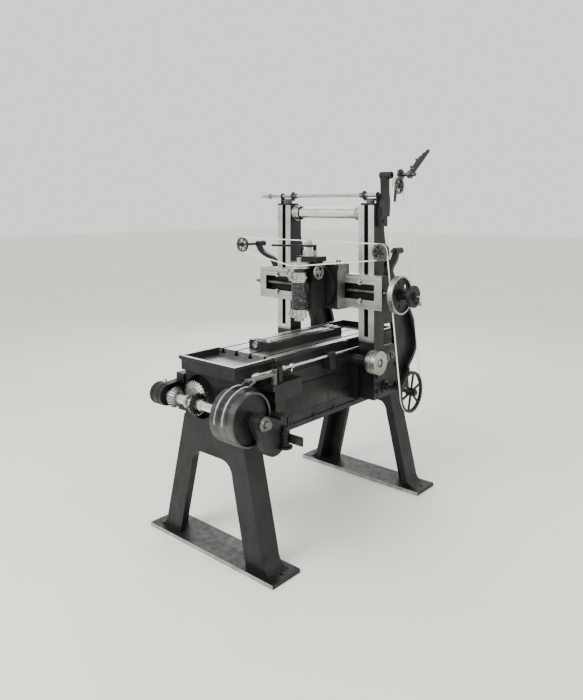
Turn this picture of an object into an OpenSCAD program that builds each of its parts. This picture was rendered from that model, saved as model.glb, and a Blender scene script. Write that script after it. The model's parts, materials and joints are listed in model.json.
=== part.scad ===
// Small double-column planer-type machine tool with a travelling T-slotted table,
// a cross-rail, a swivelling vertical spindle head and a round-belt spindle drive.
// Millimetres. +X runs along the table away from the drive end, -Y is the operator's
// side, +Z is up. The origin is on the floor, centred between the two legs' soles.

/* [Legs] */
// Distance between the middles of the two legs
leg_spacing = 1172; // [1100:4:1240]
// Length of a leg's sole across the machine
sole_len = 831; // [760:5:900]
// Width of a leg's sole along the machine
sole_w = 176; // [150:2:200]
// Thickness of a leg's sole
sole_t = 18; // [12:1:30]
// Depth of a leg along the machine
leg_d = 110; // [90:2:130]
// Height of the legs, from the floor to the underside of the bed
leg_h = 520; // [440:10:620]
// Height of the arch through a leg
arch_h = 445; // [360:5:500]
// Thickness of a leg's outer plate
leg_plate = 28; // [18:1:40]
// Radius of the floor bolt holes
floor_hole_r = 8; // [5:0.5:11]

/* [Bed] */
// Width of the bed over its sides
bed_w = 370; // [340:5:380]
// Height of the bed, from its underside to the ways
bed_h = 300; // [270:5:360]
// Thickness of the bed's side walls
bed_wall = 34; // [20:1:45]

/* [Table] */
// Length of the table over its rims
table_len = 1303; // [1200:5:1400]
// Width of the table
table_w = 384; // [360:2:396]
// Thickness of the table
table_t = 66; // [60:1:90]
// Distance between neighbouring T-slots
slot_pitch = 95; // [80:1:100]
// Width of a T-slot at the table's face
slot_w = 14; // [10:1:18]
// Length of the trough at the drive end
front_trough = 225; // [150:5:260]
// Length of the trough at the far end
rear_trough = 225; // [150:5:260]

/* [Housings] */
// Clear width between the housings
housing_gap = 482; // [460:2:540]
// Width of a housing's front face
post_w = 99; // [90:1:120]
// Depth of a housing's front post
post_d = 96; // [86:1:120]
// Place of the housings' front face along the machine
post_x = 184; // [150:2:220]
// Height of the housings' top above the floor
post_top = 1600; // [1500:10:1750]
// Width of the slot that holds the elevating screw
lift_slot_w = 26; // [22:1:32]
// Radius of the tube that braces the housings
brace_r = 30; // [24:1:36]

/* [Cross-rail] */
// Length of the cross-rail
rail_len = 852; // [800:4:900]
// Height of the cross-rail's face
rail_h = 176; // [150:2:200]
// Depth of the cross-rail from front to back
rail_d = 58; // [50:1:70]
// Height of the cross-rail's middle above the floor
rail_z = 1150; // [1120:5:1200]
// Length of the slot in the cross-rail
rail_slot_len = 760; // [700:5:780]
// Height of the slot in the cross-rail
rail_slot_h = 82; // [70:1:90]
// Radius of the cross-rail's screw
rail_screw_r = 11; // [8:0.5:13]
// Radius of the feed disc on the cross-rail's screw
feed_disc_r = 97; // [80:1:105]

/* [Head] */
// Place of the head's middle across the machine
head_y = -70; // [-90:2:40]
// Width of the saddle
saddle_w = 250; // [220:2:270]
// Radius of the swivel disc
swivel_r = 115; // [100:1:120]
// Distance from the cross-rail's face to the spindle
spindle_reach = 226; // [210:1:260]
// Radius of the spindle's barrel
barrel_r = 39; // [34:0.5:46]
// Radius of the spindle
spindle_r = 12; // [9:0.5:16]
// Radius of the bore in the spindle's nose
nose_bore_r = 8; // [5:0.5:10]
// Radius of the pulley on the spindle
spindle_pulley_r = 57.5; // [45:0.5:62]

/* [Drive] */
// Height of the drive shaft above the floor
drive_z = 701; // [690:1:720]
// Distance of the drive shaft in front of the bed
drive_reach = 80; // [76:1:90]
// Teeth of the bevel gear on the table's screw
gear_teeth = 30; // [30:10:40]
// Teeth of each bevel pinion
pinion_teeth = 18; // [18:6:24]
// Pitch radius of the bevel gear
gear_r = 80; // [75:1:82]
// Radius of the drive pulleys
drum_r = 115; // [100:1:118]
// Width of one drive pulley
pulley_w = 44.5; // [40:0.5:48]
// Radius of the drive shaft
shaft_r = 15; // [12:0.5:17]
// Radius of the reversing sleeve
sleeve_r = 21; // [19:0.5:26]
// Radius of the table's screw
table_screw_r = 15; // [12:0.5:18]

/* [Belt drive] */
// Radius of the round belt
belt_r = 3.5; // [2.5:0.25:4]
// Radius at which the belt runs on the idlers
idler_r = 42; // [36:1:46]
// Radius at which the belt runs on the lower wheel
lower_wheel_r = 101; // [90:1:106]

/* [Hidden] */
$fn = 64;

iron = "#26302f";
steel = "#b9bcb8";
bright = "#dcdedb";
cord_white = "#f2efe6";

fit = 0.05;          // radial clearance of a running shaft in its bore
slide_gap = 0.2;     // clearance between sliding faces
eps = 0.01;

leg_x = leg_spacing / 2;
leg_front = leg_x + 54;              // outer face of a leg's plate
bed_front = -leg_front;
bed_rear = leg_front + 5;
bed_top = leg_h + bed_h - slide_gap;
side_y = bed_w / 2;
table_z = leg_h + bed_h;
table_top = table_z + table_t;
table_x0 = -table_len / 2 - 25;
table_x1 = table_x0 + table_len;
post_y0 = housing_gap / 2;
post_y1 = post_y0 + post_w;
post_y = (post_y0 + post_y1) / 2;
lift_x = post_x + 41;                // axis of the elevating screws
lift_r = 8;
lift_gear_r = 40;
lift_pinion_r = 24;
lift_face = 13;
lift_shaft_z = post_top + 53;
lift_shaft_r = 10;
rail_x1 = post_x - slide_gap;
rail_x0 = rail_x1 - rail_d;
rail_z0 = rail_z - rail_h / 2;
rail_z1 = rail_z + rail_h / 2;
rail_screw_x = rail_x0 + 24;
saddle_x = rail_x0 - slide_gap;
saddle_t = 56;
disc_x = saddle_x - saddle_t;
disc_t = 30;
guide_x = disc_x - disc_t;           // back face of the head's vertical guide
guide_t = 40;
slide_x = guide_x - guide_t - slide_gap;
spindle_x = rail_x0 - spindle_reach;
swivel_z = rail_z + 20;
head_z0 = rail_z - 87;
head_z1 = rail_z + 53;
collar_low = 41;
collar_high = 51;
pulley_z = rail_z + 140.5;
spindle_pulley_w = 31;
head_top = rail_z + 135;
feed_x = slide_x - 18;
drive_x = bed_front - drive_reach;
gear_y = 80;
pinion_r = gear_r * pinion_teeth / gear_teeth;
bevel_face = 26;
bevel_scale = 1 - bevel_face / norm([gear_r, pinion_r]);
drum_gap = 1.5;
drum_y0 = -side_y - 20;
drum_y1 = drum_y0 - 3 * pulley_w - 2 * drum_gap;
rod_y = -side_y - 37;
rod_z = table_z + 18;
rod_r = 7;
fork_x = bed_front + 140;
fork_y = rod_y - 40;
finger_r = 4;
finger_path_r = drum_r + 13;
idler_x = rail_x0 - 38;
idler_step = 22;
idler_z = rail_z + 213;
right_idler_y = -rail_len / 2 - 15;
left_idler_y = rail_len / 2 + 120;
belt_y = right_idler_y - idler_r;
top_idler_x = post_x + 8;
top_idler_z = post_top + 100;
pivot_x = post_x + 71;
pivot_z = post_top + 157;
wheel_x = post_x + 101;
wheel_y = belt_y - 17;
wheel_z = leg_h + 115;
feed_disc_y = belt_y - 22;
drum_x = post_x - 29;
drum_z = leg_h + 270;
feed_drum_r = 61;
vise_top = table_top + 38;

// A box from its two opposite corners
module block(a, b) translate(a) cube(b - a);

// A cylinder along X, Y or Z from its middle line's two ends
module xcyl(r, x0, x1, y, z) translate([x0, y, z]) rotate([0, 90, 0]) cylinder(h = x1 - x0, r = r);
module ycyl(r, y0, y1, x, z) translate([x, y0, z]) rotate([-90, 0, 0]) cylinder(h = y1 - y0, r = r);
module zcyl(r, z0, z1, x, y) translate([x, y, z0]) cylinder(h = z1 - z0, r = r);

// A solid whose outline lies in the Y-Z plane, from x0 to x1
module along_x(x0, x1) translate([x0, 0, 0]) rotate([90, 0, 90]) linear_extrude(x1 - x0) children();

// A solid whose outline lies in the X-Z plane, from y0 to y1
module along_y(y0, y1) translate([0, y1, 0]) rotate([90, 0, 0]) linear_extrude(y1 - y0) children();

// A hexagon-headed bolt with a washer, its shank towards +Z from the seat
module bolt(shank_r, shank_len, head_r = 9, head_t = 7, washer_r = 0, washer_t = 3) {
    lift = washer_r > 0 ? washer_t : 0;
    if (shank_len > 0) cylinder(h = shank_len, r = shank_r);
    if (washer_r > 0) translate([0, 0, -washer_t]) cylinder(h = washer_t, r = washer_r);
    translate([0, 0, -lift - head_t]) cylinder(h = head_t + (lift + shank_len > 0 ? eps : 0), r = head_r, $fn = 6);
}

// A tapered toothed disc: the teeth of a bevel gear on its large end, pointing +Z
module bevel_teeth(teeth, pitch_r, height, small, turn = 0) {
    add = 1.8;
    ded = 3.0;
    step = 360 / teeth;
    linear_extrude(height, scale = small)
        polygon([for (i = [0:teeth - 1], k = [0:3])
            let (a = turn + i * step + [-0.25, -0.09, 0.09, 0.25][k] * step,
                 r = k == 0 || k == 3 ? pitch_r - ded : pitch_r + add)
            r * [cos(a), sin(a)]]);
}

// A spoked wheel about Z, centred on z = 0: rim, spokes and hub with a bore
module spoked_wheel(r_out, rim, w, hub_r, hub_w, bore, spokes, spoke_w) {
    difference() {
        union() {
            difference() {
                cylinder(h = w, r = r_out, center = true);
                cylinder(h = w + 1, r = r_out - rim, center = true);
            }
            cylinder(h = hub_w, r = hub_r, center = true);
            for (i = [0:spokes - 1]) rotate(i * 360 / spokes + 15)
                translate([hub_r - 3, -spoke_w / 2, -w * 0.3])
                    cube([r_out - rim - hub_r + 5, spoke_w, w * 0.6]);
        }
        cylinder(h = hub_w + 1, r = bore, center = true);
    }
}

// The groove that a round belt runs in, cut from a pulley about Z
module belt_groove(run_r) rotate_extrude()
    translate([run_r, 0]) polygon([
        [-belt_r - 0.4, -belt_r * 0.7], [-belt_r - 0.4, belt_r * 0.7],
        [belt_r + 3, belt_r * 2], [belt_r + 3, -belt_r * 2]]);

// ---------------------------------------------------------------- legs and bed

// Half width of a leg's outline at height z
function leg_edge(z) = 213 + (leg_h - z) * 0.24;

// Outline of a leg in the Y-Z plane, with its flared feet
module leg_outline() {
    flare_r = 62;
    half = [for (a = [0:15:90])
        [leg_edge(sole_t + flare_r) + flare_r * (1 - cos(a)), sole_t + flare_r * (1 - sin(a))]];
    right = concat([[leg_edge(leg_h), leg_h]], half, [[leg_edge(0) + 47, 0]]);
    n = len(right);
    polygon(concat(right, [for (i = [n - 1:-1:0]) [-right[i][0], right[i][1]]]));
}

// The arch through a leg, from its half widths at the crown and at the foot
module arch_outline(crown, foot, top) {
    r = 70;
    corner = [for (a = [0:15:90]) [crown - r + r * cos(a), top - r + r * sin(a)]];
    right = concat([[foot, sole_t], [crown, top - r]], corner);
    n = len(right);
    polygon(concat(right, [for (i = [n - 1:-1:0]) [-right[i][0], right[i][1]]]));
}

// A leg standing about x = 0 with its outer face towards -X
module leg() {
    x0 = -leg_d / 2;
    difference() {
        union() {
            difference() {
                along_x(x0, x0 + leg_d) leg_outline();
                along_x(x0 - 1, x0 + leg_plate) arch_outline(138, 224, arch_h);
                along_x(x0 + leg_plate - eps, x0 + leg_d + 1)
                    arch_outline(leg_edge(arch_h - 48) - 36, leg_edge(0) - 40, arch_h + 22);
            }
            block([-sole_w / 2, -sole_len / 2, 0], [sole_w / 2, sole_len / 2, sole_t]);
        }
        for (s = [-1, 1]) zcyl(floor_hole_r, -1, sole_t + 80, 0, s * (sole_len / 2 - 30));
    }
}

module front_leg() color(iron) translate([-leg_x + 1, 0, 0]) leg();
module rear_leg() color(iron) translate([leg_x - 1, 0, 0]) mirror([1, 0, 0]) leg();

gear_recess_r = gear_r + 22;
recess_d = 40;
end_wall = 60;

module bed() color(iron) {
    x0 = bed_front;
    x1 = bed_rear;
    difference() {
        union() {
            block([x0, -side_y, leg_h], [x1, side_y, bed_top]);
            for (s = [-1, 1], z = [leg_h, bed_top - 45])
                block([x0 + 130, s * (side_y + 3) - 3, z], [x1 - 60, s * (side_y + 3) + 3, z + 24]);
            for (x = [x0, x1 - leg_d - 4]) along_x(x, x + leg_d + 4) polygon([[-213, leg_h], [213, leg_h],
                [195, leg_h + 80], [-195, leg_h + 80]]);
            for (s = [-1, 1]) along_y(min(s * side_y, s * post_y0), max(s * side_y, s * post_y0))
                polygon([[post_x + 6, leg_h + 45], [post_x + 6, leg_h + 270],
                    [post_x + 300, leg_h + 270], [post_x + 330, leg_h + 45]]);
        }
        block([x0 + end_wall, -side_y + bed_wall, leg_h - 1],
            [x1 - end_wall, side_y - bed_wall, bed_top + 1]);
        block([x0 + 20, -85, bed_top - 22], [x1 - 20, 85, bed_top + 1]);
        xcyl(gear_recess_r, x0 - 1, x0 + recess_d, gear_y, drive_z);
        xcyl(table_screw_r + fit, x0 - 1, x1 + 1, gear_y, drive_z);
        ycyl(12, -side_y - 60, -side_y + bed_wall + 1, drum_x, drum_z);
    }
    difference() {
        ycyl(25, -post_y1 - 2.7, -side_y, drum_x, drum_z);
        ycyl(12, -post_y1 - 4, -side_y + 1, drum_x, drum_z);
    }
}

// ---------------------------------------------------------------- housings

// A smooth curve through a few points: quadratic pieces between their midpoints
function mid(a, b) = (a + b) / 2;
function smooth(p, n = 6) = concat([p[0]], [for (i = [1:len(p) - 2], t = [0:n])
    let (a = i == 1 ? p[0] : mid(p[i - 1], p[i]),
         b = i == len(p) - 2 ? p[len(p) - 1] : mid(p[i], p[i + 1]),
         u = t / n)
    a * (1 - u) * (1 - u) + p[i] * 2 * u * (1 - u) + b * u * u]);

// The sweeping back edge of a housing, from the top down to the bed
function back_edge() = smooth([[post_x + post_d, post_top - 110],
    [post_x + post_d + 4, post_top - 190], [post_x + 165, rail_z + 120],
    [post_x + 250, rail_z + 0], [post_x + 395, rail_z - 160],
    [post_x + 450, leg_h + 300], [post_x + 410, leg_h + 220],
    [post_x + 330, leg_h + 160], [post_x + 350, leg_h + 60]]);

module housing_outline() polygon(concat([[post_x, leg_h + 60], [post_x, post_top],
    [post_x + post_d, post_top]], back_edge()));

// A housing on the +Y side of the machine
module housing() {
    web = 26;
    rim = 20;
    web_y = post_y0 + 40;
    difference() {
        union() {
            along_y(web_y, web_y + web) housing_outline();
            along_y(post_y0 + 8, post_y1) difference() {
                housing_outline();
                offset(delta = -rim) housing_outline();
            }
            along_y(post_y0, post_y1) polygon([[post_x, leg_h + 60], [post_x, post_top],
                [post_x + post_d, post_top], [post_x + post_d, leg_h + 60]]);
            ycyl(34, web_y, post_y1, wheel_x, wheel_z);
            along_y(post_y0, web_y) polygon([[post_x + 6, leg_h + 60], [post_x + 6, leg_h + 270],
                [post_x + 300, leg_h + 270], [post_x + 330, leg_h + 60]]);
        }
        block([post_x - 1, post_y - lift_slot_w / 2, table_top + 20],
            [post_x + 66, post_y + lift_slot_w / 2, post_top + 1]);
        along_y(post_y0 - 1, post_y1 + 1) polygon([[post_x + post_d + 4, leg_h + 315],
            [post_x + post_d + 4, rail_z - 195], [post_x + 236, rail_z - 195],
            [post_x + 262, rail_z - 260], [post_x + 262, leg_h + 315]]);
    }
}

module left_housing() color(iron) housing();
module right_housing() color(iron) mirror([0, 1, 0]) housing();

module frame_bolts() color(iron) {
    for (s = [-1, 1], x = [post_x + 150, post_x + 260], z = [leg_h + 95, leg_h + 200])
        translate([x, s * (post_y1 - 33), z]) rotate([s * 90, 0, 0]) bolt(0, 0, 10, 8);
    for (z = [leg_h + 100, leg_h + 215], x = [post_x - 60, post_x - 30])
        translate([x, -side_y, z]) rotate([-90, 0, 0]) bolt(0, 0, 8, 6);
}

module brace_tube() color(iron) {
    x = post_x + 52;
    z = post_top - 45;
    difference() {
        union() {
            ycyl(brace_r, -post_y0, post_y0, x, z);
            for (s = [-1, 1]) {
                ycyl(brace_r + 8, min(s * post_y0, s * (post_y0 - 12)),
                    max(s * post_y0, s * (post_y0 - 12)), x, z);
                translate([x, s * (post_y0 - 12), z]) rotate([s * 90, 0, 0])
                    cylinder(h = 22, r1 = brace_r + 8, r2 = brace_r);
            }
        }
        ycyl(brace_r - 6, -post_y0 - 1, post_y0 + 1, x, z);
    }
}

// The plates on the housings' tops that carry the screws' tops and the cross shaft
module top_bearings() color(iron) {
    top_bearing();
    mirror([0, 1, 0]) top_bearing();
}

lug_t = 6;

module top_bearing() difference() {
    union() {
        block([post_x + 2, post_y0 + 13, post_top], [post_x + post_d - 8, post_y1, post_top + 11]);
        ycyl(17, post_y1 - lug_t, post_y1, lift_x, lift_shaft_z);
        block([lift_x - 14, post_y1 - lug_t, post_top + 6], [lift_x + 14, post_y1, lift_shaft_z]);
    }
    zcyl(lift_r + fit, post_top - 1, post_top + 12, lift_x, post_y);
    ycyl(lift_shaft_r + fit, post_y1 - 20, post_y1 + 20, lift_x, lift_shaft_z);
}

// ---------------------------------------------------------------- table drive

barrel_y0 = gear_y + gear_r + 52;
barrel_y1 = barrel_y0 + 82;

module gear_end_bearing() color(iron) difference() {
    union() {
        ycyl(50, barrel_y0, barrel_y1, drive_x, drive_z);
        along_y(barrel_y0, barrel_y0 + 42) hull() {
            translate([drive_x, drive_z]) circle(50, $fn = 40);
            translate([bed_front + 12, drive_z - 60]) square([78, 118]);
        }
        block([bed_front + 12, side_y, drive_z - 95], [bed_front + 90, barrel_y0 + 42, drive_z + 58]);
        block([bed_front - 6, side_y + 8, drive_z + 44], [bed_front + 90, side_y + 62, drive_z + 89]);
    }
    ycyl(shaft_r + fit, barrel_y0 - 1, barrel_y1 - 14, drive_x, drive_z);
}

bracket_y0 = drum_y1 - 10;
bracket_t = 32;
hub_len = 58;

module outboard_bracket() color(iron) difference() {
    union() {
        along_y(bracket_y0 - bracket_t, bracket_y0) hull() {
            translate([drive_x, drive_z]) circle(32, $fn = 40);
            translate([drive_x + 100, drive_z - 92]) circle(76, $fn = 48);
        }
        ycyl(32, bracket_y0 - hub_len, bracket_y0, drive_x, drive_z);
        block([bed_front + 52, bracket_y0 - bracket_t, leg_h + 82], [bed_front + 92, -side_y, drive_z - 10]);
    }
    ycyl(shaft_r + fit, bracket_y0 - hub_len - 1, bracket_y0 + 1, drive_x, drive_z);
}

module shifter_brackets() {
    side_bracket();
    rod_guide();
    rest_bar();
}

module side_bracket() color(iron) difference() {
    union() {
        block([bed_front + 160, -side_y - 66, leg_h + 180], [bed_front + 350, -side_y - 6, leg_h + 262]);
        block([bed_front + 186, -side_y - 46, leg_h + 120], [bed_front + 250, -side_y, leg_h + 182]);
        block([bed_front + 112, fork_y - 22, leg_h + 246], [bed_front + 180, -side_y - 6, leg_h + 270]);
        block([bed_front + 200, rod_y - 18, leg_h + 255], [bed_front + 224, rod_y + 16, rod_z + 16]);
    }
    xcyl(rod_r + fit, bed_front + 190, bed_front + 230, rod_y, rod_z);
    zcyl(8, leg_h + 240, leg_h + 280, fork_x, fork_y);
}

module rod_guide() color(iron) difference() {
    union() {
        block([-58, -side_y - 50, leg_h + 250], [-12, -side_y - 6, leg_h + 290]);
        block([-58, -side_y - 55, leg_h + 250], [-12, rod_y + 17, rod_z + 16]);
    }
    xcyl(rod_r + fit, -60, -10, rod_y, rod_z);
}

module rest_bar() color(iron)
    block([bed_front + 166, -side_y - 140, leg_h + 84], [bed_front + 176, -side_y, leg_h + 128]);

module table_screw() color(steel) {
    xcyl(table_screw_r, bed_front + 4, bed_rear - 6, gear_y, drive_z);
    xcyl(table_screw_r - 4, bed_front - 46, bed_front + 5, gear_y, drive_z);
    xcyl(16, drive_x + pinion_r * bevel_scale - 11, drive_x + pinion_r * bevel_scale, gear_y, drive_z, $fn = 6);
}

module bevel_gear() color(steel) difference() {
    union() {
        translate([drive_x + pinion_r, gear_y, drive_z]) rotate([0, -90, 0])
            bevel_teeth(gear_teeth, gear_r, pinion_r * (1 - bevel_scale), bevel_scale, 0);
        xcyl(gear_r - 5, drive_x + pinion_r - eps, drive_x + pinion_r + 9, gear_y, drive_z);
        xcyl(28, drive_x + pinion_r, bed_front + 10, gear_y, drive_z);
    }
    xcyl(table_screw_r - 4, drive_x, bed_front + 4, gear_y, drive_z);
    xcyl(table_screw_r, bed_front + 4, bed_front + 12, gear_y, drive_z);
}

module cross_shaft() color(steel) {
    ycyl(shaft_r, bracket_y0 - hub_len - 24, barrel_y1 - 16, drive_x, drive_z);
    ycyl(sleeve_r, gear_y - gear_r + 26, gear_y + gear_r - 24, drive_x, drive_z);
    ycyl(23, bracket_y0 - hub_len - 20, bracket_y0 - hub_len - 0.3, drive_x, drive_z);
    ycyl(17, bracket_y0 - hub_len - 33, bracket_y0 - hub_len - 20, drive_x, drive_z, $fn = 6);
}

// A bevel pinion whose large end lies on z = 0 and whose teeth point +Z
module pinion(bore) difference() {
    union() {
        bevel_teeth(pinion_teeth, pinion_r, gear_r * (1 - bevel_scale), bevel_scale, 0);
        translate([0, 0, -38]) cylinder(h = 38 + eps, r = 27);
        translate([0, 0, -8]) cylinder(h = 8 + eps, r = pinion_r - 5);
    }
    translate([0, 0, -39]) cylinder(h = 80, r = bore);
}

module forward_pinion() color(steel)
    translate([drive_x, gear_y + gear_r, drive_z]) rotate([90, 0, 0]) pinion(shaft_r);

module reverse_sleeve() color(steel) {
    translate([drive_x, gear_y - gear_r, drive_z]) rotate([-90, 0, 0]) pinion(shaft_r + fit);
    difference() {
        ycyl(sleeve_r, drum_y0 - 2 * pulley_w - drum_gap, gear_y - gear_r - 30, drive_x, drive_z);
        ycyl(shaft_r + fit, drum_y0 - 3 * pulley_w, gear_y, drive_x, drive_z);
    }
}

// A drive pulley from its high-Y face, with a rim, a web and a bored hub
module drive_pulley(y1, bore) color(steel) difference() {
    ycyl(drum_r, y1 - pulley_w, y1, drive_x, drive_z);
    for (y = [y1 - pulley_w - 1, y1 - 14]) difference() {
        ycyl(drum_r - 9, y, y + 15, drive_x, drive_z);
        ycyl(34, y - 1, y + 16, drive_x, drive_z);
    }
    ycyl(bore, y1 - pulley_w - 1, y1 + 1, drive_x, drive_z);
}

module reverse_pulley() drive_pulley(drum_y0, sleeve_r);
module loose_pulley() drive_pulley(drum_y0 - pulley_w - drum_gap, sleeve_r + fit);
module forward_pulley() drive_pulley(drum_y0 - 2 * (pulley_w + drum_gap), shaft_r);

module shifter_rod() color(bright) {
    xcyl(rod_r, bed_front + 40, post_x + 26, rod_y, rod_z);
    for (c = [[50, 26], [238, 16], [296, 18]])
        xcyl(13, bed_front + c[0], bed_front + c[0] + c[1], rod_y, rod_z);
    zcyl(5, rod_z - 24, rod_z, bed_front + 305, rod_y);
}

// The belt fork: a lever on an upright stud with two fingers bent round the pulleys
module belt_fork() color(steel) {
    z0 = leg_h + 270 + slide_gap;
    arm_z = drive_z + finger_path_r + 14;
    zcyl(8 - fit, leg_h + 248, arm_z + 16, fork_x, fork_y);
    zcyl(16, z0, arm_z + 6, fork_x, fork_y);
    block([drive_x + 44, fork_y - 20, arm_z - 6], [fork_x, fork_y + 8, arm_z + 4]);
    for (k = [1, 2]) {
        y = drum_y0 - k * pulley_w - (k - 0.5) * drum_gap;
        translate([drive_x, y, drive_z]) rotate([90, 0, 0]) rotate([0, 0, 78])
            rotate_extrude(angle = 104) translate([finger_path_r, 0]) circle(finger_r, $fn = 16);
        hull() {
            translate([drive_x + finger_path_r * cos(78), y, drive_z + finger_path_r * sin(78)])
                sphere(finger_r, $fn = 16);
            translate([drive_x + 60, y, arm_z - 1]) sphere(finger_r, $fn = 16);
        }
        block([drive_x + 54, min(y, fork_y) - 5, arm_z - 5], [drive_x + 64, max(y, fork_y) + 5, arm_z + 3]);
    }
}

// ---------------------------------------------------------------- table

// Outline of a table's edge: a lip at the top over a hollow curve
cove = 9;
trough_wall = 8;

function ogee(e) = concat([[e, 0], [e, -16]],
    [for (a = [0:18:90]) [e - cove + (cove - 3) * (1 - sin(a)), -16 - 22 * (1 - cos(a))]],
    [[e - cove, -table_t]]);

module ogee_outline(half, centre) {
    side = ogee(half);
    n = len(side);
    translate([centre, table_top])
        polygon(concat(side, [for (i = [n - 1:-1:0]) [-side[i][0], side[i][1]]]));
}

trough_d = 36;
rim_t = cove + trough_wall;

module table() color(steel) {
    xc = (table_x0 + table_x1) / 2;
    difference() {
        intersection() {
            along_x(table_x0, table_x1) ogee_outline(table_w / 2, 0);
            along_y(-table_w / 2, table_w / 2) ogee_outline(table_len / 2, xc);
        }
        block([table_x0 + rim_t, -table_w / 2 + rim_t, table_top - trough_d],
            [table_x0 + front_trough + rim_t, table_w / 2 - rim_t, table_top + 1]);
        block([table_x1 - rear_trough - rim_t, -table_w / 2 + rim_t, table_top - trough_d],
            [table_x1 - rim_t, table_w / 2 - rim_t, table_top + 1]);
        for (k = [-1.5:1:1.5]) {
            block([table_x0 + front_trough, k * slot_pitch - slot_w / 2, table_top - 26],
                [table_x1 - rear_trough, k * slot_pitch + slot_w / 2, table_top + 1]);
            block([table_x0 + front_trough, k * slot_pitch - slot_w, table_top - 26],
                [table_x1 - rear_trough, k * slot_pitch + slot_w, table_top - 14]);
        }
    }
    for (x = [-400, 120])
        block([x - 18, -table_w / 2 - 14, table_top - 15], [x + 18, -table_w / 2, table_top - 2]);
}

module table_nut() color(iron) difference() {
    block([-45, gear_y - 26, drive_z - 26], [45, gear_y + 26, table_z]);
    xcyl(table_screw_r + fit, -46, 46, gear_y, drive_z);
}

vise_x0 = -350;
vise_x1 = 235;
vise_rod_y = -8;

module vise_body() color(iron) difference() {
    union() {
        block([vise_x0, -92, table_top], [vise_x1, 14, table_top + 14]);
        block([vise_x0 + 14, -92, table_top + 13], [vise_x1 - 14, -72, vise_top]);
        block([vise_x0, -92, table_top], [vise_x0 + 50, 45, vise_top + 6]);
        block([vise_x1 - 50, -92, table_top], [vise_x1, 14, vise_top + 4]);
    }
    xcyl(9 + fit, vise_x0 - 1, vise_x1 + 1, vise_rod_y, table_top + 26);
}

module vise_jaw() color(steel)
    block([vise_x0 + 50.3, -58, table_top + 14.2], [vise_x1 - 50.3, -34, vise_top]);

module vise_screw() color(bright) {
    xcyl(9, vise_x0 - 4, vise_x1 + 12, vise_rod_y, table_top + 26);
    xcyl(15, vise_x0 - 14, vise_x0 - 0.3, vise_rod_y, table_top + 26);
    xcyl(14, vise_x1 + 0.3, vise_x1 + 12, vise_rod_y, table_top + 26);
}

// ---------------------------------------------------------------- cross-rail

module cross_rail() color(bright) {
    half = rail_len / 2;
    difference() {
        block([rail_x0, -half, rail_z0], [rail_x1, half, rail_z1]);
        block([rail_x0 - 1, -rail_slot_len / 2, rail_z - rail_slot_h / 2],
            [rail_x1 - 14, rail_slot_len / 2, rail_z + rail_slot_h / 2]);
        for (s = [-1, 1])
            block([rail_x0 - 1, -half - 1, rail_z + s * (rail_h / 2 - 24) - 1.5],
                [rail_x0 + 3, half + 1, rail_z + s * (rail_h / 2 - 24) + 1.5]);
        ycyl(rail_screw_r + fit, -half - 1, half + 1, rail_screw_x, rail_z);
        for (s = [-1, 1], z = [-50, 50]) xcyl(5.5, rail_x0 - 1, rail_x1 + 1, s * post_y, rail_z + z);
    }
    for (s = [-1, 1]) difference() {
        block([rail_x1 - eps, s * post_y - 11, rail_z - 20], [lift_x + 15, s * post_y + 11, rail_z + 20]);
        zcyl(lift_r + fit, rail_z - 21, rail_z + 21, lift_x, s * post_y);
    }
}

module rail_bolts() color(steel) for (s = [-1, 1], z = [-50, 50])
    translate([rail_x0, s * post_y, rail_z + z]) rotate([0, 90, 0]) {
        bolt(5.5, rail_d + 14, 10, 8, 15, 3);
        translate([0, 0, rail_d + 12]) cylinder(h = 8, r = 11);
    }

module rail_screw() color(steel) {
    half = rail_len / 2;
    ycyl(rail_screw_r, feed_disc_y - 130, half + 26, rail_screw_x, rail_z);
    translate([rail_screw_x - 7, half + 20, rail_z - 7]) cube([14, 30, 14]);
    ycyl(17, half + 0.3, half + 16, rail_screw_x, rail_z);
    ycyl(17, -half - 14, -half - 0.3, rail_screw_x, rail_z);
}

module feed_disc() {
    webbed_disc();
    crank_disc();
}

module webbed_disc() color(steel)
    translate([rail_screw_x, feed_disc_y - 14, rail_z]) rotate([90, 0, 0]) difference() {
        union() {
            difference() {
                cylinder(h = 26, r = feed_disc_r, center = true);
                for (s = [-1, 1]) translate([0, 0, s * 12]) difference() {
                    cylinder(h = 16, r = feed_disc_r - 9, center = true);
                    cylinder(h = 17, r = 34, center = true);
                }
            }
            cylinder(h = 40, r = 26, center = true);
        }
        for (i = [0:4]) rotate(i * 72 + 40) translate([61, 0, -20]) cylinder(h = 40, r = 13);
        cylinder(h = 60, r = rail_screw_r, center = true);
    }

module crank_disc() color(steel) difference() {
    union() {
        ycyl(55, feed_disc_y - 98, feed_disc_y - 84, rail_screw_x, rail_z);
        ycyl(22, feed_disc_y - 108, feed_disc_y - 33, rail_screw_x, rail_z);
        ycyl(9, feed_disc_y - 128, feed_disc_y - 90, rail_screw_x + 18, rail_z - 36);
        translate([rail_screw_x + 18, feed_disc_y - 130, rail_z - 36]) sphere(11);
    }
    ycyl(rail_screw_r, feed_disc_y - 140, feed_disc_y, rail_screw_x, rail_z);
}

arm_x0 = rail_x1 + 41;
arm_x1 = arm_x0 + 60;

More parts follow.
